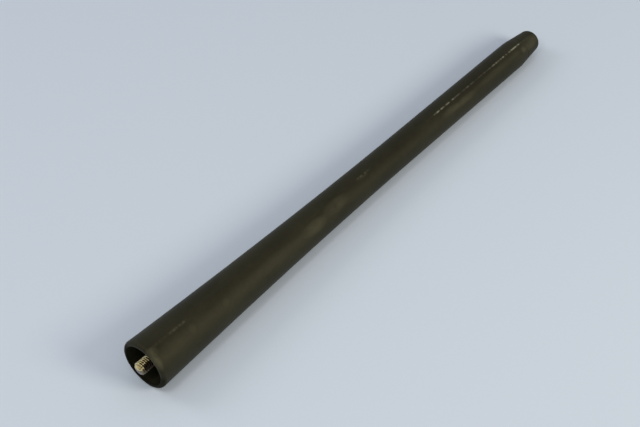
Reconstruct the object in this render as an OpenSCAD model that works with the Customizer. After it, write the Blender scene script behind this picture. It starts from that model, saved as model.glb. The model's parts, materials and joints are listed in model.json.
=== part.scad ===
// Short screw-on car antenna mast, lying as it rests on a flat surface.
// Every piece is drawn upright along +Z, with the open rim at z = 0 and the tip above,
// and is then laid over with the base towards -X and the tip towards +X.

/* [Moulded sheath] */
// Length from the rim of the base to the end of the nose
mast_len = 234; // [200:0.5:300]
// Outer radius of the flared base at the rim
rim_r = 10; // [9:0.1:13]
// Radius of the slim part where its taper is carried back to the rim
slim_base_r = 6.75; // [6:0.05:7.5]
// Radius of the slim part at the shoulder of the nose
shoulder_r = 6.1; // [5.5:0.05:6.6]
// Length of the flare, from the rim to where it has died away
flare_len = 140.5; // [90:0.5:170]
// How quickly the flare dies away, 1 being a straight cone
flare_power = 1.81; // [1.3:0.01:3]
// Length of the nose, from its shoulder to its end
nose_len = 15.5; // [11:0.5:20]
// Length of the conical part of the nose
nose_cone_len = 12; // [6:0.5:14]
// Radius at the small end of the conical part of the nose
nose_end_r = 4.75; // [3.5:0.05:5.4]
// Distance of the mould witness ring from the shoulder
witness_offset = 4.2; // [0:0.1:6]
// Depth of the mould witness ring
witness_depth = 0.15; // [0.05:0.01:0.3]
// Height of the flash ridge that runs along each side of the moulding
ridge_height = 0.2; // [0.05:0.05:0.4]
// Width of the flash ridge
ridge_w = 0.35; // [0.2:0.05:0.8]
// Turn of the ridges from the top of the lying mast
ridge_turn = 14.5; // [0:0.5:90]

/* [Base socket] */
// Wall of the shroud at the rim
rim_wall = 1.7; // [1.6:0.1:2.5]
// Depth of the open socket
socket_depth = 14.5; // [9:0.5:18]
// Radius of the socket at its floor
socket_floor_r = 8; // [7:0.1:8.2]
// Width of the rounded outer edge of the rim
lip_round_w = 1.2; // [0.4:0.05:1.3]
// Length of the rounded outer edge of the rim
lip_round_len = 1.4; // [0.4:0.1:2.5]
// Rounding of the inner edge of the rim
lip_inner_round = 0.15; // [0.05:0.05:0.2]
// Fillet between the wall and the floor of the socket
floor_fillet = 1.2; // [0.5:0.1:2]

/* [Threaded ferrule] */
// Outside radius of the M5 thread
thread_r = 2.5; // [2:0.1:3]
// How far the stud stands out past the rim
stud_proud = 2.5; // [0:0.5:6]
// Length of the undercut between the thread and the collar
undercut_len = 2; // [1:0.5:4]
// Chamfer on the end of the stud
stud_chamfer = 0.6; // [0.2:0.1:1]
// Height of the slight crown on the end of the stud
stud_crown = 0.35; // [0.1:0.05:0.6]
// Depth of the undercut behind the thread
undercut_depth = 0.45; // [0.2:0.05:0.8]
// Radius of the collar that closes the mould
collar_r = 4.4; // [3.5:0.1:5]
// How far the collar stands above the socket floor
collar_proud = 1; // [0.5:0.1:2]
// Length of the collar set in the moulding
collar_set = 1.5; // [1:0.1:3]
// Width across the flats of the hexagonal anchor
anchor_af = 7; // [6.8:0.1:8]
// Length of the hexagonal anchor
anchor_len = 7; // [4:0.5:10]
// Length of the turned nose that holds the rod
ferrule_nose_len = 12; // [9:0.5:16]
// Wall of the turned nose round the rod socket
ferrule_wall = 1.25; // [1.1:0.05:1.6]
// Width of each retaining groove round the turned nose
groove_w = 1.5; // [1:0.1:2]
// Depth of each retaining groove
groove_depth = 0.5; // [0.2:0.05:0.6]
// Depth of the rod socket beyond the turned nose
rod_set = 3; // [1:0.5:5]

/* [Core rod and winding] */
// Radius of the glass-fibre rod
rod_r = 2; // [1.5:0.1:2.4]
// Distance from the end of the rod to the end of the nose
rod_tip_gap = 11.5; // [9:0.5:25]
// Adhesive film between the rod and its socket
glue_gap = 0.05; // [0.02:0.01:0.1]
// Diameter of the copper wire
wire_d = 0.6; // [0.4:0.05:0.8]
// Clearance between the wire and what it lies on or in
wire_gap = 0.02; // [0.01:0.01:0.05]
// Length of the wire's straight tail in the ferrule
tail_in_ferrule = 3; // [2:0.5:4]
// Length of the straight lead before the first turn and after the last
lead_len = 2; // [1:0.5:4]
// Number of widely spaced turns near the base
coarse_turns = 10; // [4:1:14]
// Pitch of the widely spaced turns
coarse_pitch = 6; // [4:0.5:8]
// Number of closely spaced turns
fine_turns = 38; // [20:1:40]

/* [Shrink sleeve and solder] */
// Wall of the shrink sleeve over the winding
sleeve_wall = 0.25; // [0.15:0.05:0.5]
// Length of bare rod past the sleeve
bare_rod_end = 3; // [1:0.5:6]
// Width of the solder slot across the wire
slot_w = 1.4; // [1:0.1:1.8]
// Length of the solder slot in the ferrule
slot_len = 4; // [3:0.5:5]
// How far the solder stands above the ferrule
solder_proud = 0.25; // [0.1:0.05:0.4]

/* [Hidden] */
$fn = 96;
FLARE_STEPS = 28;
DOME_STEPS = 10;
EDGE_STEPS = 5;
LIP_STEPS = 8;
WIRE_SIDES = 6;
RINGS_PER_TURN = 12;
CUT_OVERLAP = 0.5;

shoulder_z = mast_len - nose_len;
nose_cone_z = shoulder_z + nose_cone_len;
witness_z = shoulder_z + witness_offset;
witness_r = shoulder_r + (nose_end_r - shoulder_r) * witness_offset / nose_cone_len;

collar_z = socket_depth - collar_proud;
anchor_z = socket_depth + collar_set;
ferrule_nose_z = anchor_z + anchor_len;
ferrule_end_z = ferrule_nose_z + ferrule_nose_len;
rod_socket_r = rod_r + glue_gap;
ferrule_nose_r = rod_socket_r + ferrule_wall;
rod_start_z = ferrule_nose_z - rod_set;
rod_end_z = mast_len - rod_tip_gap;

wire_r = wire_d / 2;
// Radius of the winding's corner points, so that the wire's chords clear the rod
wire_path_r = (rod_r + wire_gap + wire_r) / cos(180 / RINGS_PER_TURN);
tail_z = ferrule_end_z - tail_in_ferrule;
winding_z = ferrule_end_z + lead_len;
sleeve_end_z = rod_end_z - bare_rod_end;
winding_end_z = sleeve_end_z - lead_len;
fine_z = winding_z + coarse_turns * coarse_pitch;
fine_pitch = (winding_end_z - fine_z) / fine_turns;
sleeve_inner_r = wire_path_r + wire_r + wire_gap;
sleeve_outer_r = sleeve_inner_r + sleeve_wall;

// The mast lies on its rim and, near the tip, on its nose shoulder or a flash ridge there
rest_rim_r = max(outer_r(lip_round_len), ridge_reach(outer_r(lip_round_len)));
rest_shoulder_r = max(shoulder_r, ridge_reach(shoulder_r));
rest_tilt = atan((rest_rim_r - rest_shoulder_r) / (shoulder_z - lip_round_len));
rest_height = rest_rim_r * cos(rest_tilt) + lip_round_len * sin(rest_tilt);
stud_end_r = thread_r - stud_chamfer;
crown_r = (pow(stud_end_r, 2) + pow(stud_crown, 2)) / (2 * stud_crown);
middle_x = ((mast_len + crown_r - stud_proud) * cos(rest_tilt) - crown_r) / 2;

// Outer radius of the sheath between the rim and the shoulder
function outer_r(z) =
    slim_base_r - (slim_base_r - shoulder_r) * z / shoulder_z
    + (rim_r - slim_base_r) * pow(max(0, 1 - z / flare_len), flare_power);

// How far a flash ridge reaches below the axis of the lying mast, where the body has radius r
function ridge_reach(r) = (r + ridge_height) * cos(ridge_turn) + ridge_w / 2 * sin(ridge_turn);

// Points of an arc about [x, z] from angle a0 to a1
function arc(x, z, r, a0, a1) =
    [for (i = [0:EDGE_STEPS]) let (a = a0 + (a1 - a0) * i / EDGE_STEPS) [x + r * cos(a), z + r * sin(a)]];

// Corner points along the wire as [turn angle, height]: tail, coarse turns, fine turns, last lead
function wire_path() = concat(
    [[0, tail_z], [0, winding_z - lead_len / 2]],
    [for (i = [0:coarse_turns * RINGS_PER_TURN - 1])
        [i * 360 / RINGS_PER_TURN, winding_z + i * coarse_pitch / RINGS_PER_TURN]],
    [for (i = [0:fine_turns * RINGS_PER_TURN])
        [i * 360 / RINGS_PER_TURN, fine_z + i * fine_pitch / RINGS_PER_TURN]],
    [[0, winding_end_z + lead_len / 2]]
);

function wire_point(p) = [wire_path_r * cos(p[0]), wire_path_r * sin(p[0]), p[1]];

// Ring of wire section points, square to the wire's run and turned with the winding
function wire_ring(path, i) =
    let (
        here = wire_point(path[i]),
        before = wire_point(path[max(0, i - 1)]),
        after = wire_point(path[min(len(path) - 1, i + 1)]),
        run = (after - before) / norm(after - before),
        out = [cos(path[i][0]), sin(path[i][0]), 0],
        side_raw = cross(run, out),
        side = side_raw / norm(side_raw),
        out_square = cross(side, run)
    )
    [for (k = [0:WIRE_SIDES - 1])
        let (a = k * 360 / WIRE_SIDES)
        here + wire_r * (cos(a) * out_square + sin(a) * side)];

// Lays an upright piece down on the surface z = 0
module laid() {
    translate([-middle_x, 0, rest_height])
        rotate([0, 90 + rest_tilt, 0])
            children();
}

// Outline of the sheath without its hollows: rim, flare, slim taper, cone and dome
module sheath_outline() {
    dome_len = mast_len - nose_cone_z;
    polygon(concat(
        [[0, 0]],
        [for (i = [0:LIP_STEPS])
            let (a = 90 - 90 * i / LIP_STEPS, z = lip_round_len * (1 - sin(a)))
            [outer_r(z) - lip_round_w * (1 - cos(a)), z]],
        [for (i = [1:FLARE_STEPS])
            let (z = lip_round_len + (flare_len - lip_round_len) * i / FLARE_STEPS) [outer_r(z), z]],
        [[shoulder_r, shoulder_z]],
        [for (i = [0:DOME_STEPS])
            let (a = 90 * i / DOME_STEPS) [nose_end_r * cos(a), nose_cone_z + dome_len * sin(a)]]
    ));
}

// Thin plate through the axis, whose edges stand out as the flash ridges of the mould halves
module flash_ridges() {
    edge = concat(
        [for (i = [0:FLARE_STEPS])
            let (z = lip_round_len + (flare_len - lip_round_len) * i / FLARE_STEPS)
            [outer_r(z) + ridge_height, z]],
        [[shoulder_r + ridge_height, shoulder_z], [witness_r + ridge_height, witness_z]]
    );
    last = len(edge) - 1;
    rotate([0, 0, ridge_turn])
        rotate([90, 0, 0])
            linear_extrude(ridge_w, center = true)
                polygon(concat(edge, [for (i = [last:-1:0]) [-edge[i][0], edge[i][1]]]));
}

// Fine groove left where the mould's nose insert met its body
module witness_ring() {
    rotate_extrude()
        polygon([
            [witness_r - witness_depth, witness_z],
            [witness_r + CUT_OVERLAP, witness_z - witness_depth - CUT_OVERLAP],
            [witness_r + CUT_OVERLAP, witness_z + witness_depth + CUT_OVERLAP]
        ]);
}

// Hollow of the shroud, open at the rim
module socket_hollow() {
    mouth_r = rim_r - rim_wall;
    rotate_extrude()
        polygon(concat(
            [[0, -CUT_OVERLAP], [mouth_r + lip_inner_round, -CUT_OVERLAP]],
            arc(mouth_r + lip_inner_round, lip_inner_round, lip_inner_round, -90, -180),
            arc(socket_floor_r - floor_fillet, socket_depth - floor_fillet, floor_fillet, 0, 90),
            [[0, socket_depth]]
        ));
}

// Outside of the turned ferrule, without its rod socket and solder slot
module ferrule_outside() {
    undercut_r = thread_r - undercut_depth;
    thread_end_z = collar_z - undercut_len;
    crown_angle = asin(stud_end_r / crown_r);
    rotate_extrude()
        polygon(concat(
            [for (i = [0:EDGE_STEPS])
                let (a = crown_angle * i / EDGE_STEPS)
                [crown_r * sin(a), crown_r * (1 - cos(a)) - stud_proud]],
            [
                [thread_r, stud_crown + stud_chamfer - stud_proud],
                [thread_r, thread_end_z - undercut_depth],
                [undercut_r, thread_end_z],
                [undercut_r, collar_z],
                [collar_r, collar_z],
                [collar_r, anchor_z],
                [0, anchor_z]
            ]
        ));
    translate([0, 0, socket_depth])
        cylinder(h = collar_set + anchor_len, r = anchor_af / 2 / cos(30), $fn = 6);
    difference() {
        translate([0, 0, anchor_z])
            cylinder(h = anchor_len + ferrule_nose_len, r = ferrule_nose_r);
        for (share = [0.2, 0.5])
            translate([0, 0, ferrule_nose_z + ferrule_nose_len * share - groove_w / 2])
                ring_cut(ferrule_nose_r - groove_depth, groove_w);
    }
}

// Ring that cuts a square groove down to radius r
module ring_cut(r, width) {
    rotate_extrude()
        translate([r, 0])
            square([groove_depth + CUT_OVERLAP, width]);
}

// Slot in the ferrule's end, from the rod socket out to radius r
module solder_slot(r) {
    intersection() {
        translate([0, -slot_w / 2, ferrule_end_z - slot_len])
            cube([ferrule_nose_r + solder_proud + CUT_OVERLAP, slot_w, slot_len]);
        translate([0, 0, ferrule_end_z - slot_len])
            cylinder(h = slot_len, r = r);
    }
}

module mast_sheath() {
    color([0.075, 0.075, 0.065])
        laid()
            difference() {
                union() {
                    rotate_extrude()
                        sheath_outline();
                    flash_ridges();
                }
                witness_ring();
                socket_hollow();
                ferrule_outside();
                solder_slot(ferrule_nose_r + solder_proud);
                translate([0, 0, ferrule_end_z])
                    cylinder(h = sleeve_end_z - ferrule_end_z, r = sleeve_outer_r);
                translate([0, 0, ferrule_end_z])
                    cylinder(h = rod_end_z - ferrule_end_z, r = rod_r);
            }
}

module threaded_ferrule() {
    color([0.72, 0.56, 0.28])
        laid()
            difference() {
                ferrule_outside();
                translate([0, 0, rod_start_z])
                    cylinder(h = ferrule_end_z - rod_start_z + CUT_OVERLAP, r = rod_socket_r);
                solder_slot(ferrule_nose_r + CUT_OVERLAP);
            }
}

module core_rod() {
    color([0.85, 0.83, 0.68])
        laid()
            translate([0, 0, rod_start_z])
                cylinder(h = rod_end_z - rod_start_z, r = rod_r);
}

module antenna_coil() {
    path = wire_path();
    last = (len(path) - 1) * WIRE_SIDES;
    color([0.72, 0.40, 0.22])
        laid()
            polyhedron(
                points = [for (i = [0:len(path) - 1]) each wire_ring(path, i)],
                faces = concat(
                    [[for (k = [0:WIRE_SIDES - 1]) k]],
                    [for (i = [0:len(path) - 2], k = [0:WIRE_SIDES - 1])
                        let (a = i * WIRE_SIDES, b = a + WIRE_SIDES, n = (k + 1) % WIRE_SIDES)
                        each [[a + k, b + k, b + n], [a + k, b + n, a + n]]],
                    [[for (k = [WIRE_SIDES - 1:-1:0]) last + k]]
                )
            );
}

module solder_joint() {
    color([0.70, 0.71, 0.72])
        laid()
            difference() {
                solder_slot(ferrule_nose_r + solder_proud);
                translate([0, 0, rod_start_z])
                    cylinder(h = ferrule_end_z - rod_start_z + CUT_OVERLAP, r = rod_socket_r);
                translate([wire_path_r, 0, tail_z - wire_gap])
                    cylinder(h = tail_in_ferrule + CUT_OVERLAP, r = wire_r + wire_gap);
            }
}

module shrink_sleeve() {
    color([0.10, 0.10, 0.11])
        laid()
            translate([0, 0, ferrule_end_z])
                difference() {
                    cylinder(h = sleeve_end_z - ferrule_end_z, r = sleeve_outer_r);
                    translate([0, 0, -CUT_OVERLAP])
                        cylinder(h = sleeve_end_z - ferrule_end_z + 2 * CUT_OVERLAP, r = sleeve_inner_r);
                }
}

mast_sheath();
threaded_ferrule();
core_rod();
antenna_coil();
solder_joint();
shrink_sleeve();
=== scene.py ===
import json
import math

import bmesh
import bpy
from mathutils import Matrix, Vector, noise


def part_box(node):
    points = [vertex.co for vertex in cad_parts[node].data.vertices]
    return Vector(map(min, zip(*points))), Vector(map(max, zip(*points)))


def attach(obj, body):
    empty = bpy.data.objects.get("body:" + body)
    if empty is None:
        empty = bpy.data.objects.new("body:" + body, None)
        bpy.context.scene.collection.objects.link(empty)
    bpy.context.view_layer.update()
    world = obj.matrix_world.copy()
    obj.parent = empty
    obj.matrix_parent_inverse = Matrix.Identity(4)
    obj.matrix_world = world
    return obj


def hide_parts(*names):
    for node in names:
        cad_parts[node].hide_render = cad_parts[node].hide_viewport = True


bl_info = {
    "name": "Car antenna mast",
    "version": (1, 0, 0),
    "blender": (4, 5, 0),
    "location": "View3D > Sidebar > Antenna",
    "description": "Dresses a short screw-on car antenna mast and its studio",
    "category": "Add Mesh",
}

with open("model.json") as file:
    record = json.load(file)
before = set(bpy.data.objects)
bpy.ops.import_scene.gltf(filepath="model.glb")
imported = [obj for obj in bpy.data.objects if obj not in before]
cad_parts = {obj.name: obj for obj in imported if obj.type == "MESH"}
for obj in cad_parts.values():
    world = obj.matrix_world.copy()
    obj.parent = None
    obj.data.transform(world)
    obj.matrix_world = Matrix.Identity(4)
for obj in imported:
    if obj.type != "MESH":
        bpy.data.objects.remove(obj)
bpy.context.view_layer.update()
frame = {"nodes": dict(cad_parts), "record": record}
MM = 0.001


def mount(name):
    """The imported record's mount of that name."""
    return next(m for m in frame["record"]["mounts"] if m["name"] == name)


def laying_matrix():
    """Matrix that lays down a piece drawn upright on its rim, the rim's centre, and the mast's tilt."""
    stud, rim = mount("stud"), mount("rim_face")
    along = -Vector(stud["axis"]).normalized()
    on_axis = Vector(stud["pos_m"])
    centre = on_axis + along * (Vector(rim["pos_m"]) - on_axis).dot(along)
    tilt = math.atan2(-along.z, along.x)
    turn = Matrix.Rotation(math.pi / 2 + tilt, 4, "Y")
    return Matrix.Translation(centre) @ turn, centre, tilt


LAID, RIM_CENTRE, REST_TILT = laying_matrix()
STUD_RADIUS = mount("stud")["dims"]["r_mm"] * MM


# Settings


def length_property(name, description, default):
    """A size in metres."""
    return bpy.props.FloatProperty(name=name, description=description, default=default, unit="LENGTH")


def angle_property(name, description, degrees):
    """An angle, given in degrees and kept in radians."""
    radians = math.radians(degrees)
    return bpy.props.FloatProperty(name=name, description=description, default=radians, subtype="ANGLE")


def number_property(name, description, default):
    """A number without a unit."""
    return bpy.props.FloatProperty(name=name, description=description, default=default)


def colour_property(name, description, default):
    """A linear colour."""
    return bpy.props.FloatVectorProperty(
        name=name, description=description, default=default, subtype="COLOR", size=3
    )


class SheathSettings(bpy.types.PropertyGroup):
    """Colours and sizes of the rubber moulding, measured along its axis from the rim."""

    length: length_property("Length", "Rim to the end of the nose", 234 * MM)
    rim_radius: length_property("Rim radius", "Outer radius at the rim", 10 * MM)
    slim_base_radius: length_property("Slim radius", "Slim taper carried back to the rim", 6.75 * MM)
    shoulder_radius: length_property("Shoulder radius", "Radius where the nose begins", 6.1 * MM)
    flare_length: length_property("Flare length", "Reach of the flare", 140.5 * MM)
    flare_power: number_property("Flare power", "How fast the flare dies away", 1.81)
    nose_length: length_property("Nose length", "Shoulder to end", 15.5 * MM)
    nose_cone: length_property("Nose cone", "Length of the cone", 12 * MM)
    nose_end_radius: length_property("Nose end radius", "Small end of the cone", 4.75 * MM)
    witness_offset: length_property("Witness ring", "Distance from the shoulder", 4.2 * MM)
    witness_depth: length_property("Witness depth", "Depth of the ring", 0.15 * MM)
    rim_wall: length_property("Rim wall", "Wall at the rim", 1.7 * MM)
    socket_depth: length_property("Socket depth", "Depth of the open base", 14.5 * MM)
    socket_floor_radius: length_property("Floor radius", "Socket radius at its floor", 8 * MM)
    lip_width: length_property("Lip width", "Width of the rounding", 1.2 * MM)
    lip_length: length_property("Lip length", "Length of the rounding", 1.4 * MM)
    lip_inner: length_property("Inner lip", "Rounding inside", 0.15 * MM)
    floor_fillet: length_property("Floor fillet", "Fillet at the floor", 1.2 * MM)
    ridge_height: length_property("Flash ridge", "Height of the ridge", 0.2 * MM)
    ridge_turn: angle_property("Ridge turn", "Turn of the ridges from the top", 14.5)
    rubber: colour_property("Rubber", "Colour of the clean rubber", (0.0072, 0.0065, 0.003))
    # Dust colour, also the colour of the painted highlight on the lip
    dust_and_highlight_colour: colour_property("Dust", "Colour of dust and handling marks", (0.048, 0.0445, 0.026))
    scuff: colour_property("Scuff", "Colour of scuffed flash", (0.25, 0.237, 0.172))


class FerruleSettings(bpy.types.PropertyGroup):
    """Colour and sizes of the turned brass ferrule, measured along its axis from the rim."""

    stud_proud: length_property("Stud proud", "How far it passes the rim", 2.5 * MM)
    thread_pitch: length_property("Pitch", "Thread pitch", 0.8 * MM)
    thread_depth: length_property("Thread depth", "Crest to root", 0.45 * MM)
    chamfer: length_property("Chamfer", "Chamfer on the end", 0.6 * MM)
    crown: length_property("Crown", "Crown on the end", 0.35 * MM)
    undercut_length: length_property("Undercut", "Between thread and collar", 2 * MM)
    undercut_depth: length_property("Undercut depth", "Below the thread's crest", 0.45 * MM)
    collar_radius: length_property("Collar radius", "Radius of the collar", 4.4 * MM)
    collar_proud: length_property("Collar proud", "Collar above the floor", 1 * MM)
    collar_set: length_property("Collar set", "Collar below the floor", 1.5 * MM)
    anchor_flats: length_property("Anchor flats", "Hexagon across its flats", 7 * MM)
    anchor_length: length_property("Anchor length", "Length of the hexagon", 7 * MM)
    nose_length: length_property("Nose length", "Length of the turned nose", 12 * MM)
    nose_radius: length_property("Nose radius", "Radius of the turned nose", 3.3 * MM)
    groove_depth: length_property("Groove depth", "Depth of the nose's grooves", 0.5 * MM)
    groove_width: length_property("Groove width", "Width of the nose's grooves", 1.5 * MM)
    edge_break: length_property("Edge break", "Bevel on the collar's edge", 0.15 * MM)
    rod_socket_radius: length_property("Rod socket", "Bore for the rod", 2.05 * MM)
    rod_set: length_property("Rod set", "Bore past the nose", 3 * MM)
    brass: colour_property("Brass", "Colour of the brass", (0.82, 0.7, 0.38))


class StudioSettings(bpy.types.PropertyGroup):
    """Camera, floor and the even light of the sky."""

    aim: bpy.props.FloatVectorProperty(
        name="Aim",
        description="Point at the middle of the view",
        default=(-21.1 * MM, 1.39 * MM, 8 * MM),
        unit="LENGTH",
        size=3,
    )
    azimuth: angle_property("Azimuth", "Turn of the view from the mast towards +Y", 40.44)
    elevation: angle_property("Elevation", "How steeply the camera looks down", 47.13)
    distance: length_property("Distance", "Camera to aim", 528.6 * MM)
    lens: number_property("Lens", "Focal length in millimetres", 78.75)
    floor_colour: colour_property("Floor", "Colour of the floor", (0.66, 0.73, 0.84))
    sky_colour: colour_property("Sky", "Colour of the even light", (0.93, 0.96, 1))
    sky_strength: number_property("Sky strength", "Strength of the even light", 0.47)


def sheath():
    return bpy.context.scene.antenna_sheath


def ferrule():
    return bpy.context.scene.antenna_ferrule


def studio():
    return bpy.context.scene.antenna_studio


# Shapes

MERGE_DISTANCE = 1e-7
THREAD_MERGE_DISTANCE = 1e-6
DEGENERATE_LENGTH = 1e-8


def arc(centre, radius, start, end, steps):
    """Points of an arc in the profile plane, as (radius from the axis, height), from angles in degrees."""
    angles = [math.radians(start + (end - start) * i / steps) for i in range(steps + 1)]
    return [(centre[0] + radius * math.cos(a), centre[1] + radius * math.sin(a)) for a in angles]


def hexagon_radius(flats):
    """Radius to the corners of a hexagon, from its width across flats."""
    return flats / 2 / math.cos(math.radians(30))


def outer_radius(s, z):
    """Outer radius of the sheath between the rim and the shoulder."""
    shoulder = s.length - s.nose_length
    taper = s.slim_base_radius - (s.slim_base_radius - s.shoulder_radius) * z / shoulder
    fade = max(0.0, 1 - z / s.flare_length)
    return taper + (s.rim_radius - s.slim_base_radius) * fade ** s.flare_power


def polyline(bm, points):
    """Vertices and edges of a profile, drawn in the XZ plane."""
    verts = [bm.verts.new((r, 0, z)) for r, z in points]
    edges = [bm.edges.new(pair) for pair in zip(verts, verts[1:])]
    return verts + edges


def turned(bm, points, steps, start_turn=0.0):
    """A lathe-turned solid from a profile that starts and ends on the axis."""
    geom = polyline(bm, points)
    verts = [g for g in geom if isinstance(g, bmesh.types.BMVert)]
    bmesh.ops.rotate(bm, verts=verts, cent=(0, 0, 0), matrix=Matrix.Rotation(start_turn, 3, "Z"))
    bmesh.ops.spin(
        bm, geom=geom, cent=(0, 0, 0), axis=(0, 0, 1),
        angle=2 * math.pi, steps=steps, use_merge=True, use_duplicate=False,
    )
    bmesh.ops.remove_doubles(bm, verts=bm.verts, dist=MERGE_DISTANCE)
    bmesh.ops.dissolve_degenerate(bm, edges=bm.edges, dist=DEGENERATE_LENGTH)


def finish_piece(bm, name, material, nodes, sharp=30.0):
    """Lays the piece down, makes its object and ties it to the frame. Edges past sharp degrees are hard."""
    bmesh.ops.recalc_face_normals(bm, faces=bm.faces)
    for face in bm.faces:
        face.smooth = True
    for edge in bm.edges:
        if len(edge.link_faces) == 2 and edge.calc_face_angle(0) > math.radians(sharp):
            edge.smooth = False
    bmesh.ops.transform(bm, matrix=LAID, verts=bm.verts)
    mesh = bpy.data.meshes.new(name)
    bm.to_mesh(mesh)
    bm.free()
    piece = bpy.data.objects.new(name, mesh)
    bpy.context.scene.collection.objects.link(piece)
    mesh.materials.append(material)
    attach(piece, "root")
    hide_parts(*nodes)


# Materials


class Nodes:
    """Short names for the nodes of one material."""

    NOISE_ROUGHNESS = 0.55

    def __init__(self, name):
        self.material = bpy.data.materials.new(name)
        self.material.use_nodes = True
        self.tree = self.material.node_tree
        self.tree.nodes.clear()
        output = self.add("ShaderNodeOutputMaterial")
        self.shader = self.add("ShaderNodeBsdfPrincipled")
        self.link(self.shader.outputs["BSDF"], output.inputs["Surface"])
        coords = self.add("ShaderNodeTexCoord")
        self.object_coords = coords.outputs["Object"]

    def add(self, kind, **values):
        node = self.tree.nodes.new(kind)
        for key, value in values.items():
            setattr(node, key, value)
        return node

    def link(self, a, b):
        self.tree.links.new(a, b)

    def feed(self, socket, value):
        """Sets a socket to a number or colour, or links it."""
        if isinstance(value, bpy.types.NodeSocket):
            self.link(value, socket)
        else:
            socket.default_value = value

    def set(self, name, value):
        """Feeds one of the shader's own sockets."""
        self.feed(self.shader.inputs[name], value)

    def mast_coords(self):
        """Object coordinates turned so that X runs along the mast from its rim."""
        shift = self.add("ShaderNodeVectorMath", operation="SUBTRACT")
        self.link(self.object_coords, shift.inputs[0])
        shift.inputs[1].default_value = RIM_CENTRE
        turn = self.add("ShaderNodeMapping", vector_type="POINT")
        turn.inputs["Rotation"].default_value = (0, -REST_TILT, 0)
        self.link(shift.outputs[0], turn.inputs["Vector"])
        return turn.outputs["Vector"]

    def split(self, vector):
        """The X, Y and Z of a vector."""
        parts = self.add("ShaderNodeSeparateXYZ")
        self.link(vector, parts.inputs[0])
        return parts.outputs["X"], parts.outputs["Y"], parts.outputs["Z"]

    def math(self, operation, a, b=0.0, clamp=False):
        node = self.add("ShaderNodeMath", operation=operation, use_clamp=clamp)
        self.feed(node.inputs[0], a)
        self.feed(node.inputs[1], b)
        return node.outputs[0]

    def degrees(self, turn):
        """An angle in radians, as degrees."""
        return self.math("MULTIPLY", turn, 180 / math.pi)

    def stretched(self, vector, scale):
        node = self.add("ShaderNodeVectorMath", operation="MULTIPLY")
        self.link(vector, node.inputs[0])
        node.inputs[1].default_value = scale
        return node.outputs[0]

    def noise(self, vector, scale, detail):
        node = self.add("ShaderNodeTexNoise")
        self.link(vector, node.inputs["Vector"])
        node.inputs["Scale"].default_value = scale
        node.inputs["Detail"].default_value = detail
        node.inputs["Roughness"].default_value = self.NOISE_ROUGHNESS
        return node.outputs["Fac"]

    def remap(self, value, low, high, to_low=0.0, to_high=1.0):
        """Carries low to to_low and high to to_high, evenly between them and held past them."""
        node = self.add("ShaderNodeMapRange")
        self.link(value, node.inputs["Value"])
        node.inputs["From Min"].default_value = low
        node.inputs["From Max"].default_value = high
        node.inputs["To Min"].default_value = to_low
        node.inputs["To Max"].default_value = to_high
        return node.outputs["Result"]

    def mix(self, factor, a, b):
        """A colour that goes from a to b."""
        node = self.add("ShaderNodeMix", data_type="RGBA")
        self.feed(node.inputs[0], factor)
        self.feed(node.inputs[6], a if isinstance(a, bpy.types.NodeSocket) else (*a, 1))
        self.feed(node.inputs[7], b if isinstance(b, bpy.types.NodeSocket) else (*b, 1))
        return node.outputs[2]

    def bump(self, height, strength, distance):
        node = self.add("ShaderNodeBump")
        node.inputs["Strength"].default_value = strength
        node.inputs["Distance"].default_value = distance
        self.link(height, node.inputs["Height"])
        self.link(node.outputs["Normal"], self.shader.inputs["Normal"])

    def soft_patch(self, along, around, x, turn, reach, width):
        """1 at a place on the mast, fading to 0 over reach along it and width round it."""
        dx = self.math("DIVIDE", self.math("SUBTRACT", along, x), reach)
        dt = self.math("DIVIDE", self.math("SUBTRACT", around, turn), width)
        square = self.math("ADD", self.math("MULTIPLY", dx, dx), self.math("MULTIPLY", dt, dt))
        return self.math("SUBTRACT", 1.0, square, clamp=True)


# Marks on the rubber: mm from the rim, degrees round from the top towards +Y, reach along the mast in mm,
# reach round it in degrees, and weight
DUST_MARKS = (
    (10.0, -38, 10.0, 20, 0.2),  # haze behind the lip
    (19.0, -37, 1.8, 13, 0.36),  # two short rubs on the flare
    (35.5, -42, 1.8, 13, 0.42),
    (58.0, -42, 24.0, 18, 0.14),  # long haze on the flare
    (84.5, -44, 7.5, 22, 0.68),  # two broad patches on the body
    (98.0, -34, 8.0, 23, 0.62),
    (115.5, -21, 3.5, 4, 0.45),  # thin streak beside the flash line
    (169.0, -42, 6.0, 16, 0.55),  # three patches on the slim end
    (178.0, -45, 9.0, 15, 0.55),
    (199.0, -40, 15.0, 15, 0.3),
    (214.0, -38, 4.5, 12, 0.3),  # rubs before and after the shoulder
    (220.2, -44, 1.8, 15, 0.8),
    (226.5, -40, 7.0, 34, 0.7),  # haze on the nose
)
# Marks on the lip: rubs that are also a painted highlight along the lip's rounded crest
LIP_RUBS_AND_HIGHLIGHT = (
    (0.8, -37, 1.9, 30, 0.9),  # rubbed crest of the lip
    (2.4, -22, 1.8, 12, 0.4),  # rub behind it, beside the flash line
)
MOST_DUST_AND_HIGHLIGHT = 2.4

# Scuffs on the flash line: mm from the rim, and brightness
FLASH_SCUFFS = (
    (0.0, 0.05), (8.0, 0.05), (10.5, 0.0), (12.0, 0.15), (18.0, 0.14), (19.5, 0.0),
    (112.0, 0.0), (113.5, 0.16), (118.5, 0.14), (120.0, 0.0),
    (160.5, 0.0), (162.0, 0.8), (166.7, 0.75), (167.6, 0.15), (169.0, 0.5), (173.5, 0.5), (177.5, 0.2),
    (179.5, 0.04), (185.5, 0.3), (189.0, 0.03), (193.5, 0.22), (198.0, 0.06), (203.0, 0.55), (206.2, 0.6),
    (207.0, 0.12), (208.0, 0.7), (210.6, 0.7), (211.8, 0.06), (213.2, 0.95), (219.8, 0.95), (221.4, 0.1),
)
# Half widths of the scuffed line in degrees round the mast, where it is whole and where it ends
SCUFF_CORE = 1.4
SCUFF_EDGE = 4.2
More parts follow.
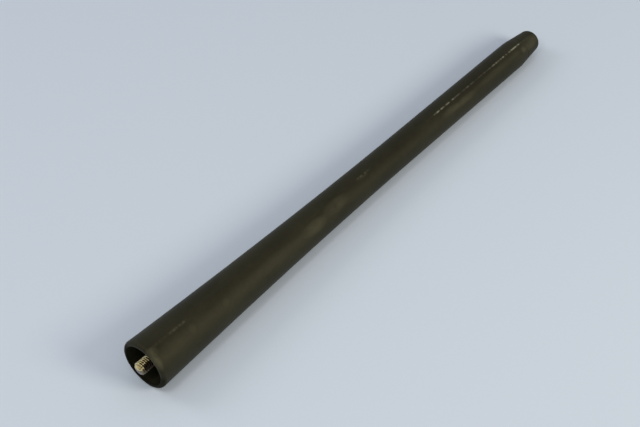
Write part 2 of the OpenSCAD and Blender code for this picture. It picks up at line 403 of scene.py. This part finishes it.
# The lip's underside is painted darker, as painted shade. The unshaded middle is this many degrees from the
# top towards -Y, and the painted shade starts and is whole at these cosines of the turn from it
UNSHADED_LIP_TURN = 15
LIP_SHADE_STARTS = 0.5
LIP_SHADE_WHOLE = 0.2
# Strength and colour of the painted shade on the lip's underside
LIP_SHADE_SHARE = 0.85
LIP_SHADE_COLOUR = (0.0012, 0.0011, 0.0007)


def rubber_dust_and_highlight(n, mast, along, around, smear):
    """How much the rubber is lightened: an even dust film, the dust marks along the mast, and the rubbed
    lip, which is also a painted highlight along the lip's crest.
    """
    mottle = n.noise(mast, scale=420, detail=3)
    speck = n.noise(mast, scale=1900, detail=2)
    dust_and_highlight = n.math(
        "ADD",
        n.remap(smear, 0.35, 0.7, to_high=0.22),
        n.math("ADD", n.remap(mottle, 0.35, 0.7, to_high=0.08), n.remap(speck, 0.45, 0.75, to_high=0.05)),
    )
    patches = n.noise(n.stretched(mast, (0.6, 1, 1)), scale=260, detail=3)
    patchy = n.remap(patches, 0.35, 0.6, to_low=0.45, to_high=1.1)
    grainy = n.remap(mottle, 0.3, 0.6, to_low=0.8, to_high=1.3)
    for marks, breakup in ((DUST_MARKS, patchy), (LIP_RUBS_AND_HIGHLIGHT, grainy)):
        for x, at, reach, width, weight in marks:
            patch = n.math("MULTIPLY", n.soft_patch(along, around, x * MM, at, reach * MM, width), weight)
            dust_and_highlight = n.math("ADD", dust_and_highlight, n.math("MULTIPLY", patch, breakup))
    return dust_and_highlight


def flash_scuffs(n, s, mast, along, around):
    """How scuffed the upper flash line is, in broken dashes."""
    off_line = n.math("ABSOLUTE", n.math("ADD", around, math.degrees(s.ridge_turn)))
    on_line = n.remap(off_line, SCUFF_CORE, SCUFF_EDGE, to_low=1.0, to_high=0.0)
    dashes = n.add("ShaderNodeValToRGB")
    ramp = dashes.color_ramp
    ramp.interpolation = "LINEAR"
    length_mm = s.length / MM
    ramp.elements[0].position = 0
    ramp.elements[1].position = 1
    ramp.elements[1].color = (0, 0, 0, 1)
    for x, value in FLASH_SCUFFS:
        stop = ramp.elements.new(x / length_mm) if x > 0 else ramp.elements[0]
        stop.color = (value, value, value, 1)
    n.link(n.math("DIVIDE", along, s.length), dashes.inputs["Fac"])
    broken = n.remap(n.noise(n.stretched(mast, (1, 0.2, 0.2)), scale=900, detail=2), 0.38, 0.6)
    return n.math("MULTIPLY", n.math("MULTIPLY", on_line, dashes.outputs["Color"]), broken)


def rubber_material(s):
    """Satin black-brown rubber with dust, smears and a scuffed flash line, a painted highlight along the
    lip's crest and painted shade on the lip's underside.
    """
    n = Nodes("sheath_rubber")
    mast = n.mast_coords()
    along, aside, above = n.split(mast)
    turn = n.math("ARCTAN2", aside, above)
    around = n.degrees(turn)
    smear = n.noise(n.stretched(mast, (0.35, 1, 1)), scale=110, detail=4)
    dust_and_highlight = rubber_dust_and_highlight(n, mast, along, around, smear)
    # Dust lightens the rubber; on the lip the same lightening is a painted highlight
    colour = n.mix(n.math("MINIMUM", dust_and_highlight, MOST_DUST_AND_HIGHLIGHT), s.rubber, s.dust_and_highlight_colour)
    colour.node.clamp_factor = False

    # Painted shade: the lip's underside is darkened towards a near-black colour and made rougher
    facing_up = n.math("COSINE", n.math("ADD", turn, math.radians(UNSHADED_LIP_TURN)))
    on_lip = n.remap(along, 0.6 * MM, 1.6 * MM, to_low=1.0, to_high=0.0)
    lip_shade = n.math("MULTIPLY", n.remap(facing_up, LIP_SHADE_STARTS, LIP_SHADE_WHOLE), on_lip)
    colour = n.mix(n.math("MULTIPLY", lip_shade, LIP_SHADE_SHARE), colour, LIP_SHADE_COLOUR)
    colour = n.mix(flash_scuffs(n, s, mast, along, around), colour, s.scuff)

    n.set("Base Color", colour)
    rough = n.remap(dust_and_highlight, 0.0, 0.8, to_low=0.57, to_high=0.7)
    n.set("Roughness", n.math("ADD", rough, n.math("MULTIPLY", lip_shade, 0.3)))
    n.set("Specular IOR Level", 0.3)
    n.set("Specular Tint", (1, 0.94, 0.62, 1))
    grain = n.math("ADD", n.noise(mast, scale=3200, detail=2), n.math("MULTIPLY", smear, 0.8))
    n.bump(grain, strength=0.35, distance=0.06 * MM)
    return n.material


THREAD_GRIME = (0.13, 0.085, 0.035)
# Dark colour of the painted shade and painted dark reflection band on the stud's side towards -Y
STUD_SHADE = (0.06, 0.035, 0.025)
# Dim grey-violet of the end's lower half, a painted reflection of the floor
END_REFLECTION = (0.36, 0.33, 0.34)
TARNISH = 0.5
# Turns round the stud in degrees from its top, towards +Y: the painted shade's edge at the free end and
# further in, how far patches push that edge, where past it the painted shade starts and is whole, and the
# middle, core and edge of a dark band along the stud that is a painted reflection
SHADE_EDGE_AT_END = -54
SHADE_EDGE_INSIDE = -22
SHADE_WANDER = 8
SHADE_STARTS = 4
SHADE_WHOLE = -8
DARK_BAND_TURN = -30
DARK_BAND_CORE = 2
DARK_BAND_EDGE = 7


def thread_grime(n, f, from_axis, along, around):
    """How much grime lies in the thread, which starts past the stud's chamfer."""
    thread_start = f.crown - f.stud_proud + f.chamfer
    root = STUD_RADIUS - 0.8 * f.thread_depth
    crest = STUD_RADIUS - 0.2 * f.thread_depth
    grime = n.remap(from_axis, root, crest, to_low=0.9, to_high=0.0)
    grime = n.math("MULTIPLY", grime, n.remap(along, thread_start - 0.2 * MM, thread_start + 0.2 * MM))
    return n.math("MULTIPLY", grime, n.remap(around, -50, 10, to_low=0.6, to_high=1.0))


def stud_shade(n, patches, along, around):
    """How much painted shade lies on the stud: its side towards -Y behind a ragged edge, and one long dark
    band that is a painted reflection.
    """
    edge = n.remap(along, -1.4 * MM, -0.5 * MM, to_low=SHADE_EDGE_AT_END, to_high=SHADE_EDGE_INSIDE)
    wander = n.remap(patches, 0.3, 0.7, to_low=-SHADE_WANDER, to_high=SHADE_WANDER)
    past_edge = n.math("SUBTRACT", n.math("SUBTRACT", around, wander), edge)
    shaded_side = n.remap(past_edge, SHADE_STARTS, SHADE_WHOLE)
    towards_end = n.remap(along, -1.6 * MM, -0.6 * MM, to_low=0.8, to_high=0.97)
    towards_collar = n.remap(along, 7 * MM, 11 * MM, to_low=1.0, to_high=0.0)
    shaded_side = n.math("MULTIPLY", n.math("MULTIPLY", shaded_side, towards_end), towards_collar)
    off_band = n.math("ABSOLUTE", n.math("SUBTRACT", around, DARK_BAND_TURN))
    dark_band = n.remap(off_band, DARK_BAND_CORE, DARK_BAND_EDGE, to_low=0.45, to_high=0.0)
    dark_band = n.math("MULTIPLY", dark_band, n.remap(along, 5 * MM, 9 * MM, to_low=1.0, to_high=0.0))
    return n.math("MAXIMUM", shaded_side, dark_band)


def brass_material(f):
    """Turned brass, tarnished in patches, with grime in the thread's root, painted shade and a painted dark
    reflection band on its side towards -Y, and a dull end whose lower half carries a painted reflection.
    """
    n = Nodes("ferrule_brass")
    mast = n.mast_coords()
    along, aside, above = n.split(mast)
    around = n.degrees(n.math("ARCTAN2", aside, above))
    across = n.add("ShaderNodeCombineXYZ")
    n.link(aside, across.inputs["Y"])
    n.link(above, across.inputs["Z"])
    length = n.add("ShaderNodeVectorMath", operation="LENGTH")
    n.link(across.outputs[0], length.inputs[0])

    patches = n.noise(mast, scale=500, detail=3)
    tarnish = tuple(c * TARNISH for c in f.brass)
    colour = n.mix(n.remap(patches, 0.45, 0.75, to_high=0.5), f.brass, tarnish)
    colour = n.mix(thread_grime(n, f, length.outputs["Value"], along, around), colour, THREAD_GRIME)
    # Painted shade on the stud's side towards -Y, with a painted dark reflection band along it
    colour = n.mix(stud_shade(n, patches, along, around), colour, STUD_SHADE)

    # The lower half of the crowned end gets a painted dim reflection and, as a dull sawn end, more
    # roughness
    crown_end = f.crown - f.stud_proud
    on_end = n.remap(along, crown_end - 0.03 * MM, crown_end + 0.03 * MM, to_low=1.0, to_high=0.0)
    dull_end_and_reflection = n.math("MULTIPLY", on_end, n.remap(above, -0.7 * MM, 0.4 * MM, to_low=1.0, to_high=0.0))
    n.set("Base Color", n.mix(dull_end_and_reflection, colour, END_REFLECTION))
    n.set("Metallic", 1.0)
    rough = n.remap(patches, 0.3, 0.7, to_low=0.24, to_high=0.36)
    n.set("Roughness", n.math("ADD", rough, n.math("MULTIPLY", dull_end_and_reflection, 0.15)))
    tool_marks = n.noise(n.stretched(mast, (8, 1, 1)), scale=1500, detail=2)
    n.bump(tool_marks, strength=0.15, distance=0.03 * MM)
    return n.material


def fibre_material():
    """Pultruded glass fibre, streaked along its length."""
    n = Nodes("rod_glass_fibre")
    streaks = n.noise(n.stretched(n.mast_coords(), (0.04, 1, 1)), scale=2600, detail=4)
    n.set("Base Color", n.mix(n.remap(streaks, 0.35, 0.65), (0.66, 0.63, 0.42), (0.82, 0.8, 0.62)))
    n.set("Roughness", 0.4)
    n.bump(streaks, strength=0.3, distance=0.04 * MM)
    return n.material


def wire_material():
    """Enamelled copper wire, its enamel varying a little in depth."""
    n = Nodes("coil_copper")
    mast = n.mast_coords()
    depth = n.noise(mast, scale=700, detail=3)
    n.set("Base Color", n.mix(n.remap(depth, 0.35, 0.7), (0.66, 0.29, 0.12), (0.42, 0.15, 0.06)))
    n.set("Metallic", 1.0)
    n.set("Roughness", n.remap(depth, 0.3, 0.7, to_low=0.18, to_high=0.32))
    n.set("Coat Weight", 0.4)
    n.bump(n.noise(mast, scale=3000, detail=2), strength=0.1, distance=0.02 * MM)
    return n.material


def solder_material():
    """Dull solder with a frosted, lumpy skin."""
    n = Nodes("solder_tin")
    frost = n.noise(n.mast_coords(), scale=1600, detail=4)
    n.set("Base Color", n.mix(n.remap(frost, 0.35, 0.7), (0.62, 0.63, 0.64), (0.4, 0.4, 0.41)))
    n.set("Metallic", 1.0)
    n.set("Roughness", n.remap(frost, 0.3, 0.7, to_low=0.25, to_high=0.5))
    n.bump(frost, strength=0.4, distance=0.08 * MM)
    return n.material


def sleeve_material():
    """Black shrink film, faintly rippled over the turns beneath it."""
    n = Nodes("sleeve_plastic")
    film = n.noise(n.stretched(n.mast_coords(), (2.5, 1, 1)), scale=500, detail=3)
    n.set("Base Color", n.mix(n.remap(film, 0.35, 0.7), (0.022, 0.022, 0.024), (0.045, 0.045, 0.05)))
    n.set("Roughness", n.remap(film, 0.3, 0.7, to_low=0.3, to_high=0.5))
    n.bump(film, strength=0.3, distance=0.06 * MM)
    return n.material


def floor_material(colour):
    """Plain pale paper, with the least grain."""
    n = Nodes("studio_floor")
    darker = tuple(c * 0.985 for c in colour)
    n.set("Base Color", n.mix(n.noise(n.object_coords, scale=700, detail=3), colour, darker))
    n.set("Roughness", 0.85)
    n.set("Specular IOR Level", 0.2)
    return n.material


# Rubber sheath

SHEATH_SIDES = 192
FLARE_RINGS = 72
LIP_RINGS = 12
INNER_LIP_RINGS = 6
FLOOR_FILLET_RINGS = 8
SOCKET_WALL_RINGS = 8
DOME_RINGS = 14

# Flash lines: how near a vertex has to be, in degrees round the mast and in metres under its surface
FLASH_ANGLE = 0.4
FLASH_SKIN = 0.7 * MM
FLASH_TO_WITNESS = 0.4 * MM
# Share of the ridge's height near the base, what the slim end adds, and where along the mast it rises
FLASH_LOW = 0.2
FLASH_RISE = 0.45
FLASH_RISE_START = 0.64
FLASH_RISE_LENGTH = 0.05
FLASH_LUMP = 0.25
LUMPS_PER_METRE = 90
LUMP_SHIFT = 3
NEAR_AXIS = 1e-6


def round_node(node):
    """Radius of a round node of the frame, and how far from the rim it ends."""
    low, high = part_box(node)
    return (high.y - low.y) / 2, (high.x - RIM_CENTRE.x) / math.cos(REST_TILT)


def socket_profile(s, f):
    """Section of the moulding's inside, from the end of the rod's hole to the inner lip."""
    sleeve_radius, sleeve_end = round_node("shrink_sleeve")
    rod_radius, rod_end = round_node("core_rod")
    anchor = s.socket_depth + f.collar_set
    nose_start = anchor + f.anchor_length
    ferrule_end = nose_start + f.nose_length
    anchor_radius = hexagon_radius(f.anchor_flats)
    inside = [
        (0, rod_end), (rod_radius, rod_end),
        (rod_radius, sleeve_end), (sleeve_radius, sleeve_end),
        (sleeve_radius, ferrule_end), (f.nose_radius, ferrule_end),
        (f.nose_radius, nose_start), (anchor_radius, nose_start),
        (anchor_radius, anchor), (f.collar_radius, anchor), (f.collar_radius, s.socket_depth),
    ]
    fillet_centre = (s.socket_floor_radius - s.floor_fillet, s.socket_depth - s.floor_fillet)
    floor = arc(fillet_centre, s.floor_fillet, 90, 0, FLOOR_FILLET_RINGS)
    mouth = s.rim_radius - s.rim_wall
    mouth_lip = arc((mouth + s.lip_inner, s.lip_inner), s.lip_inner, 180, 270, INNER_LIP_RINGS)
    wall = [
        tuple(a + (b - a) * i / SOCKET_WALL_RINGS for a, b in zip(floor[-1], mouth_lip[0]))
        for i in range(1, SOCKET_WALL_RINGS)
    ]
    return inside + floor + wall + mouth_lip


def body_profile(s):
    """Section of the moulding's outside, from the lip's crest to the shoulder."""
    outer_lip = []
    for turn in (math.pi / 2 * (1 - i / LIP_RINGS) for i in range(LIP_RINGS + 1)):
        z = s.lip_length * (1 - math.sin(turn))
        outer_lip.append((outer_radius(s, z) - s.lip_width * (1 - math.cos(turn)), z))
    flare_run = s.length - s.nose_length - s.lip_length
    heights = [s.lip_length + flare_run * i / FLARE_RINGS for i in range(1, FLARE_RINGS + 1)]
    return outer_lip + [(outer_radius(s, z), z) for z in heights]


def nose_profile(s):
    """Section of the nose past the shoulder: its cone with the witness ring, and the dome on its end."""
    shoulder = s.length - s.nose_length
    cone_end = shoulder + s.nose_cone
    witness = shoulder + s.witness_offset
    d = s.witness_depth

    def on_cone(z, depth=0.0):
        radius = s.shoulder_radius + (s.nose_end_radius - s.shoulder_radius) * (z - shoulder) / s.nose_cone
        return radius - depth, z

    cone = [on_cone(shoulder + s.witness_offset * 0.5), on_cone(witness - 2 * d)]
    cone += [on_cone(witness - d), on_cone(witness, d), on_cone(witness + d)]
    cone += [on_cone(witness + 2 * d), on_cone((witness + cone_end) / 2)]
    dome = [
        (s.nose_end_radius * math.cos(a), cone_end + (s.length - cone_end) * math.sin(a))
        for a in (math.pi / 2 * i / DOME_RINGS for i in range(DOME_RINGS))
    ]
    return cone + dome + [(0, s.length)]


def raise_flash(bm, s):
    """Lifts the two lines of vertices where the mould halves met."""
    shoulder = s.length - s.nose_length
    flash_end = shoulder + s.witness_offset - FLASH_TO_WITNESS
    up = Vector((-math.cos(s.ridge_turn), -math.sin(s.ridge_turn), 0))
    for vert in bm.verts:
        radial = Vector((vert.co.x, vert.co.y, 0))
        if radial.length < NEAR_AXIS or not s.lip_length <= vert.co.z <= flash_end:
            continue
        if radial.length < outer_radius(s, min(vert.co.z, shoulder)) - FLASH_SKIN:
            continue
        if abs(radial.normalized().dot(up)) > math.cos(math.radians(FLASH_ANGLE)):
            lump = noise.noise(Vector((vert.co.z * LUMPS_PER_METRE, up.x * LUMP_SHIFT, 0)))
            past_rise = (vert.co.z - FLASH_RISE_START * s.length) / (FLASH_RISE_LENGTH * s.length)
            share = FLASH_LOW + FLASH_RISE * min(1.0, max(0.0, past_rise))
            vert.co += radial.normalized() * s.ridge_height * (share + FLASH_LUMP * lump)


class ANTENNA_OT_sheath(bpy.types.Operator):
    """Models the rubber moulding with its open base, flare, flash lines and nose"""

    bl_idname = "antenna.sheath"
    bl_label = "Rubber sheath"

    def execute(self, context):
        s = sheath()
        bm = bmesh.new()
        profile = socket_profile(s, ferrule()) + body_profile(s) + nose_profile(s)
        turned(bm, profile, SHEATH_SIDES, math.pi + s.ridge_turn)
        raise_flash(bm, s)
        finish_piece(bm, "rubber_sheath", rubber_material(s), ["mast_sheath"])
        return {"FINISHED"}


# Threaded ferrule

FERRULE_SIDES = 96
THREAD_STEPS = 72
CREST_STEPS = 6
CROWN_RINGS = 5

# The thread's form, as shares of its pitch, and the arc of its rounded crest in degrees either way
ROOT_FLAT = 0.16
CREST_MIDDLE = 0.58
CREST_ROUND = 0.19
CREST_ARC = 60
# Middles of the nose's retaining grooves, as shares of its length
GROOVE_MIDDLES = (0.2, 0.5)


def thread_profile(f, radius, start, end):
    """V-form of the thread with rounded crests, as (radius, height), a pitch over at both ends."""
    pitch = f.thread_pitch
    root = radius - f.thread_depth
    turns = math.ceil((end - start) / pitch) + 2
    crest = CREST_ROUND * pitch
    points = []
    for i in range(turns):
        z = start - pitch + i * pitch
        points += [(root, z), (root, z + ROOT_FLAT * pitch)]
        points += arc((radius - crest, z + CREST_MIDDLE * pitch), crest, -CREST_ARC, CREST_ARC, CREST_STEPS)
    points.append((root, start - pitch + turns * pitch))
    return points


def threaded_rod(bm, f, radius, start, end):
    """A closed length of right-hand thread, cut square at both ends, with its free end chamfered."""
    bmesh.ops.spin(
        bm, geom=polyline(bm, thread_profile(f, radius, start, end)), cent=(0, 0, 0), axis=(0, 0, 1),
        dvec=(0, 0, f.thread_pitch / THREAD_STEPS), angle=2 * math.pi, steps=THREAD_STEPS,
        use_duplicate=False,
    )
    bmesh.ops.remove_doubles(bm, verts=bm.verts, dist=THREAD_MERGE_DISTANCE)
    for height, facing in ((start, -1), (end, 1)):
        cut = bmesh.ops.bisect_plane(
            bm, geom=bm.verts[:] + bm.edges[:] + bm.faces[:], plane_co=(0, 0, height),
            plane_no=(0, 0, facing), clear_outer=True, dist=MERGE_DISTANCE,
        )
        rim = [g for g in cut["geom_cut"] if isinstance(g, bmesh.types.BMEdge)]
        bmesh.ops.contextual_create(bm, geom=rim)
    for vert in bm.verts:
        radial = math.hypot(vert.co.x, vert.co.y)
        limit = radius - f.chamfer + (vert.co.z - start)
        if radial > limit > 0:
            vert.co.x *= limit / radial
            vert.co.y *= limit / radial


def raise_crown(bm, f, radius):
    """Raises the lowest cap of a threaded rod into a shallow dome, ring by ring."""
    bmesh.ops.recalc_face_normals(bm, faces=bm.faces)
    cap = min(bm.faces, key=lambda face: face.calc_center_median().z)
    end_radius = radius - f.chamfer
    ball = (end_radius ** 2 + f.crown ** 2) / (2 * f.crown)
    rings = [end_radius * (1 - i / CROWN_RINGS) for i in range(CROWN_RINGS + 1)]
    rise = [math.sqrt(ball ** 2 - ring ** 2) for ring in rings]
    for low, high in zip(rise, rise[1:-1]):
        bmesh.ops.inset_individual(bm, faces=[cap], thickness=end_radius / CROWN_RINGS, depth=high - low)
    bmesh.ops.poke(bm, faces=[cap], offset=rise[-1] - rise[-2])


def ferrule_profile(f, thread_end, collar, anchor):
    """Section of the undercut, collar, grooved nose and rod socket, drawn from axis to axis."""
    nose_start = anchor + f.anchor_length
    ferrule_end = nose_start + f.nose_length
    undercut = STUD_RADIUS - f.undercut_depth
    edge = f.edge_break
    profile = [
        (0, thread_end - edge), (undercut, thread_end - edge), (undercut, collar),
        (f.collar_radius - edge, collar), (f.collar_radius, collar + edge), (f.collar_radius, anchor),
        (f.nose_radius, anchor), (f.nose_radius, nose_start),
    ]
    for share in GROOVE_MIDDLES:
        middle = nose_start + f.nose_length * share
        low, high = middle - f.groove_width / 2, middle + f.groove_width / 2
        floor = f.nose_radius - f.groove_depth
        profile += [(f.nose_radius, low), (floor, low), (floor, high), (f.nose_radius, high)]
    socket_end = nose_start - f.rod_set
    profile += [
        (f.nose_radius, ferrule_end), (f.rod_socket_radius, ferrule_end),
        (f.rod_socket_radius, socket_end), (0, socket_end),
    ]
    return profile


class ANTENNA_OT_ferrule(bpy.types.Operator):
    """Models the turned brass ferrule with its thread, collar, hexagon and grooved nose"""

    bl_idname = "antenna.ferrule"
    bl_label = "Threaded ferrule"

    def execute(self, context):
        s, f = sheath(), ferrule()
        collar = s.socket_depth - f.collar_proud
        anchor = s.socket_depth + f.collar_set
        thread_end = collar - f.undercut_length
        bm = bmesh.new()
        threaded_rod(bm, f, STUD_RADIUS, f.crown - f.stud_proud, thread_end)
        raise_crown(bm, f, STUD_RADIUS)
        threads = bpy.data.meshes.new("threads")
        bm.to_mesh(threads)
        bm.free()

        bm = bmesh.new()
        turned(bm, ferrule_profile(f, thread_end, collar, anchor), FERRULE_SIDES)
        corners = hexagon_radius(f.anchor_flats)
        hexagon = bmesh.ops.create_cone(
            bm, cap_ends=True, segments=6, depth=f.anchor_length, radius1=corners, radius2=corners
        )
        bmesh.ops.translate(bm, vec=(0, 0, anchor + f.anchor_length / 2), verts=hexagon["verts"])
        bm.from_mesh(threads)
        bpy.data.meshes.remove(threads)
        material = brass_material(f)
        finish_piece(bm, "turned_ferrule", material, ["threaded_ferrule"], sharp=25.0)
        return {"FINISHED"}


# Sealed pieces


class ANTENNA_OT_inner_finishes(bpy.types.Operator):
    """Gives the sealed pieces of the frame their materials"""

    bl_idname = "antenna.inner_finishes"
    bl_label = "Inner finishes"

    def execute(self, context):
        finishes = {
            "core_rod": fibre_material(),
            "antenna_coil": wire_material(),
            "solder_joint": solder_material(),
            "shrink_sleeve": sleeve_material(),
        }
        for node, material in finishes.items():
            piece = frame["nodes"][node]
            piece.data.materials.clear()
            piece.data.materials.append(material)
        return {"FINISHED"}


# Studio

FLOOR_HALF_WIDTH = 3.0
SENSOR_WIDTH_MM = 36.0
CLIP_START = 0.01

# Soft square lights: degrees round from +X towards +Y, degrees up, distance and width in metres,
# power in watts, and colour
STUDIO_LIGHTS = {
    "key": (-75, 31, 0.9, 0.3, 3.5, (1, 0.94, 0.78)),
    "fill": (113, 38, 0.9, 0.36, 1.2, (1, 0.98, 0.93)),
}
STUD_LIGHT = (190, 68, 0.5, 0.1, 0.36, (1, 0.97, 0.85))


def direction(turn, rise):
    """Unit vector turned from +X towards +Y and raised by an angle."""
    return Vector((math.cos(turn) * math.cos(rise), math.sin(turn) * math.cos(rise), math.sin(rise)))


def stand_off(thing, target, away, distance):
    """Puts a light or camera in the scene at a distance from its target, facing it."""
    bpy.context.scene.collection.objects.link(thing)
    thing.location = target + away * distance
    thing.rotation_euler = (-away).to_track_quat("-Z", "Y").to_euler()


def area_light(name, target, turn, rise, distance, width, power, colour):
    """One soft square light on its target, its angles in degrees."""
    data = bpy.data.lights.new(name, "AREA")
    data.shape = "SQUARE"
    data.size = width
    data.energy = power
    data.color = colour
    away = direction(math.radians(turn), math.radians(rise))
    stand_off(bpy.data.objects.new(name, data), target, away, distance)


class ANTENNA_OT_studio(bpy.types.Operator):
    """Sets the pale floor, the soft lights and the camera at the photograph's angle"""

    bl_idname = "antenna.studio"
    bl_label = "Studio"

    def execute(self, context):
        t = studio()
        scene = context.scene
        bm = bmesh.new()
        bmesh.ops.create_grid(bm, x_segments=1, y_segments=1, size=FLOOR_HALF_WIDTH)
        mesh = bpy.data.meshes.new("studio_floor")
        bm.to_mesh(mesh)
        bm.free()
        floor = bpy.data.objects.new("studio_floor", mesh)
        scene.collection.objects.link(floor)
        mesh.materials.append(floor_material(tuple(t.floor_colour)))

        aim = Vector(t.aim)
        for name, values in STUDIO_LIGHTS.items():
            area_light(name, aim, *values)
        area_light("stud_glint", Vector(RIM_CENTRE), *STUD_LIGHT)

        world = bpy.data.worlds.new("studio_world")
        world.use_nodes = True
        sky = world.node_tree.nodes["Background"]
        sky.inputs["Color"].default_value = (*t.sky_colour, 1)
        sky.inputs["Strength"].default_value = t.sky_strength
        scene.world = world

        data = bpy.data.cameras.new("camera")
        data.lens = t.lens
        data.sensor_width = SENSOR_WIDTH_MM
        data.clip_start = CLIP_START
        camera = bpy.data.objects.new("camera", data)
        stand_off(camera, aim, -direction(t.azimuth, -t.elevation), t.distance)
        scene.camera = camera
        scene.view_settings.view_transform = "Standard"
        return {"FINISHED"}


class ANTENNA_PT_panel(bpy.types.Panel):
    """Lists the antenna's pieces in the sidebar"""

    bl_label = "Car antenna mast"
    bl_space_type = "VIEW_3D"
    bl_region_type = "UI"
    bl_category = "Antenna"

    def draw(self, context):
        column = self.layout.column(align=True)
        for operator in OPERATORS:
            column.operator(operator.bl_idname)
        for group in (sheath(), ferrule(), studio()):
            box = self.layout.box()
            for name in group.__annotations__:
                box.prop(group, name)


OPERATORS = (ANTENNA_OT_sheath, ANTENNA_OT_ferrule, ANTENNA_OT_inner_finishes, ANTENNA_OT_studio)
CLASSES = (SheathSettings, FerruleSettings, StudioSettings, *OPERATORS, ANTENNA_PT_panel)


def register():
    for cls in CLASSES:
        bpy.utils.register_class(cls)
    bpy.types.Scene.antenna_sheath = bpy.props.PointerProperty(type=SheathSettings)
    bpy.types.Scene.antenna_ferrule = bpy.props.PointerProperty(type=FerruleSettings)
    bpy.types.Scene.antenna_studio = bpy.props.PointerProperty(type=StudioSettings)


def unregister():
    del bpy.types.Scene.antenna_studio
    del bpy.types.Scene.antenna_ferrule
    del bpy.types.Scene.antenna_sheath
    for cls in reversed(CLASSES):
        bpy.utils.unregister_class(cls)


def main():
    register()
    bpy.ops.antenna.sheath()
    bpy.ops.antenna.ferrule()
    bpy.ops.antenna.inner_finishes()
    bpy.ops.antenna.studio()


if __name__ == "__main__":
    main()
